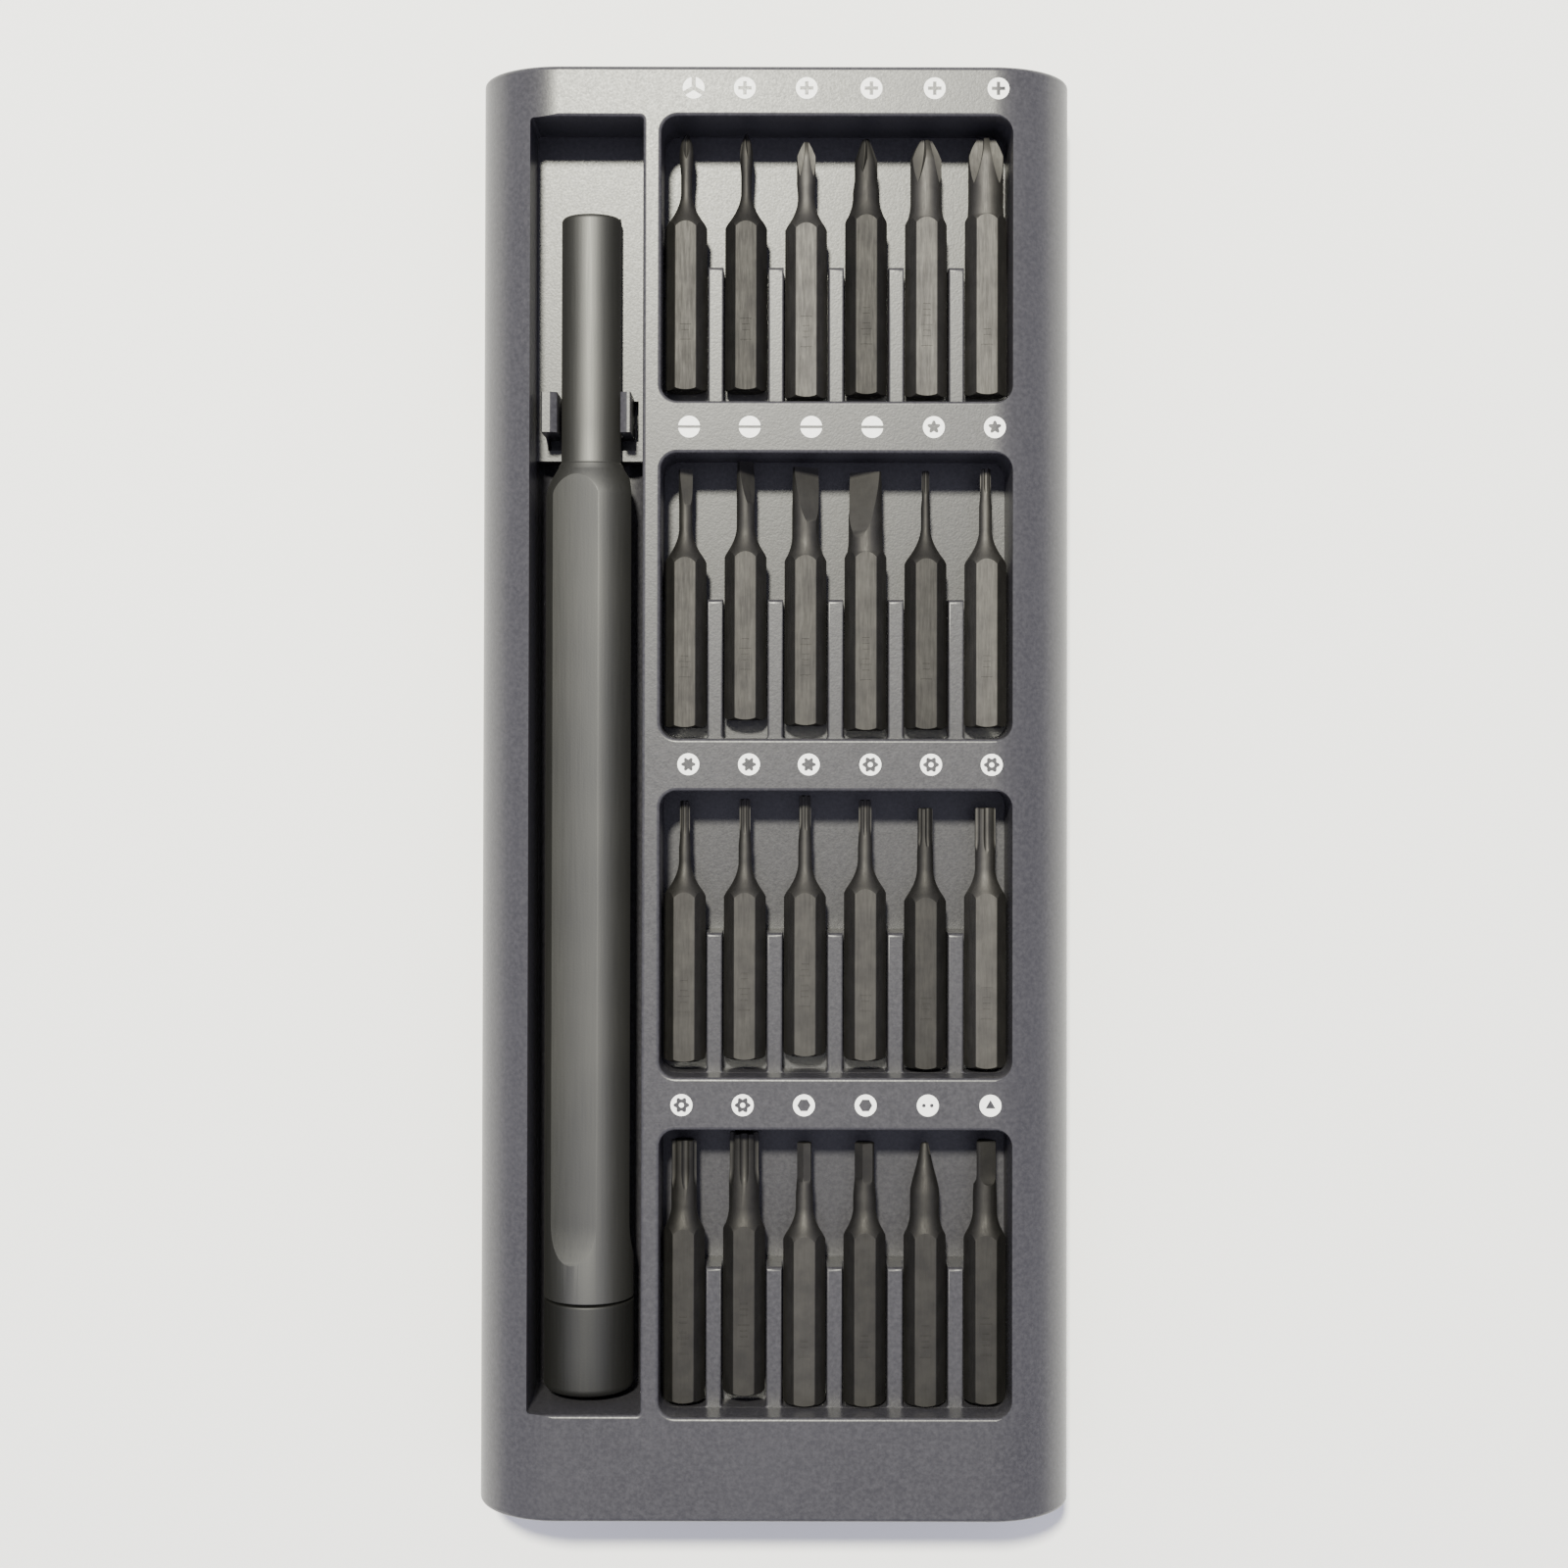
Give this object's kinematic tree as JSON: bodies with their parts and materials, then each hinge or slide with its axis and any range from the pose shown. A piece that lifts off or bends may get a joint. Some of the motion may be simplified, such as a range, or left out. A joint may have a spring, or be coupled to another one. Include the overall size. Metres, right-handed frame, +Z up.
{
  "type": "precision screwdriver set",
  "caption": "Slim grey plastic tray with rounded long sides, holding a slender dark metal driver with a swivel cap and rows of small hexagonal bits.",
  "frame": {"origin": "centre of the tray's flat underside", "axes": "+Y along the tray towards the bits' tips and the driver's nose, +X across it from the driver to the bits, +Z up out of the tray"},
  "size_m": [0.0646, 0.156, 0.018],
  "materials": {
    "case_plastic": "fine matt moulded grain",
    "grip_metal": "dark grey anodised, satin",
    "bit_steel": "dark tool steel, satin ground flats",
    "bright_steel": "bright machined",
    "magnet": "plated, satin",
    "screw_steel": "black zinc"
  },
  "bodies": {
    "tray": {"tray_shell": "case_plastic", "base_shell": "case_plastic", "magnet_bar_1": "magnet", "magnet_bar_2": "magnet", "magnet_bar_3": "magnet", "magnet_bar_4": "magnet", "base_screw_1": "screw_steel", "base_screw_2": "screw_steel", "base_screw_3": "screw_steel", "base_screw_4": "screw_steel", "base_screw_5": "screw_steel", "base_screw_6": "screw_steel"},
    "driver": {"handle_barrel": "grip_metal", "bit_socket": "bright_steel", "socket_magnet": "magnet", "bearing_outer_race": "bright_steel"},
    "cap": {"swivel_cap": "grip_metal", "cap_pin": "bright_steel", "bearing_inner_race": "bright_steel"},
    "ball_ring": {"bearing_ball_ring": "bright_steel"},
    "bit_three_wing_1_body": {"bit_three_wing_1": "bit_steel"},
    "bit_cross_000_body": {"bit_cross_000": "bit_steel"},
    "bit_cross_00_body": {"bit_cross_00": "bit_steel"},
    "bit_cross_0_body": {"bit_cross_0": "bit_steel"},
    "bit_cross_1_body": {"bit_cross_1": "bit_steel"},
    "bit_cross_2_body": {"bit_cross_2": "bit_steel"},
    "bit_slot_1_5_body": {"bit_slot_1_5": "bit_steel"},
    "bit_slot_2_0_body": {"bit_slot_2_0": "bit_steel"},
    "bit_slot_3_0_body": {"bit_slot_3_0": "bit_steel"},
    "bit_slot_4_0_body": {"bit_slot_4_0": "bit_steel"},
    "bit_five_lobe_2_body": {"bit_five_lobe_2": "bit_steel"},
    "bit_five_lobe_5_body": {"bit_five_lobe_5": "bit_steel"},
    "bit_six_lobe_2_body": {"bit_six_lobe_2": "bit_steel"},
    "bit_six_lobe_3_body": {"bit_six_lobe_3": "bit_steel"},
    "bit_six_lobe_4_body": {"bit_six_lobe_4": "bit_steel"},
    "bit_six_lobe_5_body": {"bit_six_lobe_5": "bit_steel"},
    "bit_six_lobe_6_body": {"bit_six_lobe_6": "bit_steel"},
    "bit_six_lobe_8_body": {"bit_six_lobe_8": "bit_steel"},
    "bit_six_lobe_10_body": {"bit_six_lobe_10": "bit_steel"},
    "bit_six_lobe_15_body": {"bit_six_lobe_15": "bit_steel"},
    "bit_hex_1_5_body": {"bit_hex_1_5": "bit_steel"},
    "bit_hex_2_0_body": {"bit_hex_2_0": "bit_steel"},
    "bit_fork_2_6_body": {"bit_fork_2_6": "bit_steel"},
    "bit_triangle_2_3_body": {"bit_triangle_2_3": "bit_steel"}
  },
  "joints": [
    {"name": "driver_lift", "type": "slide", "parent": "tray", "child": "driver", "axis": [0, 0, 1], "range_m": [0, 0.06]},
    {"name": "cap_spin", "type": "hinge", "parent": "driver", "child": "cap", "pos_m": [-0.0204, -0.061, 0.01], "axis": [0, 1, 0], "continuous": true},
    {"name": "ball_ring_spin", "type": "hinge", "parent": "driver", "child": "ball_ring", "pos_m": [-0.0204, -0.0538, 0.01], "axis": [0, 1, 0], "continuous": true},
    {"name": "lift_three_wing_1", "type": "slide", "parent": "tray", "child": "bit_three_wing_1_body", "axis": [0, 0, 1], "range_m": [0, 0.04]},
    {"name": "lift_cross_000", "type": "slide", "parent": "tray", "child": "bit_cross_000_body", "axis": [0, 0, 1], "range_m": [0, 0.04]},
    {"name": "lift_cross_00", "type": "slide", "parent": "tray", "child": "bit_cross_00_body", "axis": [0, 0, 1], "range_m": [0, 0.04]},
    {"name": "lift_cross_0", "type": "slide", "parent": "tray", "child": "bit_cross_0_body", "axis": [0, 0, 1], "range_m": [0, 0.04]},
    {"name": "lift_cross_1", "type": "slide", "parent": "tray", "child": "bit_cross_1_body", "axis": [0, 0, 1], "range_m": [0, 0.04]},
    {"name": "lift_cross_2", "type": "slide", "parent": "tray", "child": "bit_cross_2_body", "axis": [0, 0, 1], "range_m": [0, 0.04]},
    {"name": "lift_slot_1_5", "type": "slide", "parent": "tray", "child": "bit_slot_1_5_body", "axis": [0, 0, 1], "range_m": [0, 0.04]},
    {"name": "lift_slot_2_0", "type": "slide", "parent": "tray", "child": "bit_slot_2_0_body", "axis": [0, 0, 1], "range_m": [0, 0.04]},
    {"name": "lift_slot_3_0", "type": "slide", "parent": "tray", "child": "bit_slot_3_0_body", "axis": [0, 0, 1], "range_m": [0, 0.04]},
    {"name": "lift_slot_4_0", "type": "slide", "parent": "tray", "child": "bit_slot_4_0_body", "axis": [0, 0, 1], "range_m": [0, 0.04]},
    {"name": "lift_five_lobe_2", "type": "slide", "parent": "tray", "child": "bit_five_lobe_2_body", "axis": [0, 0, 1], "range_m": [0, 0.04]},
    {"name": "lift_five_lobe_5", "type": "slide", "parent": "tray", "child": "bit_five_lobe_5_body", "axis": [0, 0, 1], "range_m": [0, 0.04]},
    {"name": "lift_six_lobe_2", "type": "slide", "parent": "tray", "child": "bit_six_lobe_2_body", "axis": [0, 0, 1], "range_m": [0, 0.04]},
    {"name": "lift_six_lobe_3", "type": "slide", "parent": "tray", "child": "bit_six_lobe_3_body", "axis": [0, 0, 1], "range_m": [0, 0.04]},
    {"name": "lift_six_lobe_4", "type": "slide", "parent": "tray", "child": "bit_six_lobe_4_body", "axis": [0, 0, 1], "range_m": [0, 0.04]},
    {"name": "lift_six_lobe_5", "type": "slide", "parent": "tray", "child": "bit_six_lobe_5_body", "axis": [0, 0, 1], "range_m": [0, 0.04]},
    {"name": "lift_six_lobe_6", "type": "slide", "parent": "tray", "child": "bit_six_lobe_6_body", "axis": [0, 0, 1], "range_m": [0, 0.04]},
    {"name": "lift_six_lobe_8", "type": "slide", "parent": "tray", "child": "bit_six_lobe_8_body", "axis": [0, 0, 1], "range_m": [0, 0.04]},
    {"name": "lift_six_lobe_10", "type": "slide", "parent": "tray", "child": "bit_six_lobe_10_body", "axis": [0, 0, 1], "range_m": [0, 0.04]},
    {"name": "lift_six_lobe_15", "type": "slide", "parent": "tray", "child": "bit_six_lobe_15_body", "axis": [0, 0, 1], "range_m": [0, 0.04]},
    {"name": "lift_hex_1_5", "type": "slide", "parent": "tray", "child": "bit_hex_1_5_body", "axis": [0, 0, 1], "range_m": [0, 0.04]},
    {"name": "lift_hex_2_0", "type": "slide", "parent": "tray", "child": "bit_hex_2_0_body", "axis": [0, 0, 1], "range_m": [0, 0.04]},
    {"name": "lift_fork_2_6", "type": "slide", "parent": "tray", "child": "bit_fork_2_6_body", "axis": [0, 0, 1], "range_m": [0, 0.04]},
    {"name": "lift_triangle_2_3", "type": "slide", "parent": "tray", "child": "bit_triangle_2_3_body", "axis": [0, 0, 1], "range_m": [0, 0.04]}
  ],
  "couplings": [
    {"joint": "ball_ring_spin", "follows": "cap_spin", "ratio": 0.408}
  ]
}
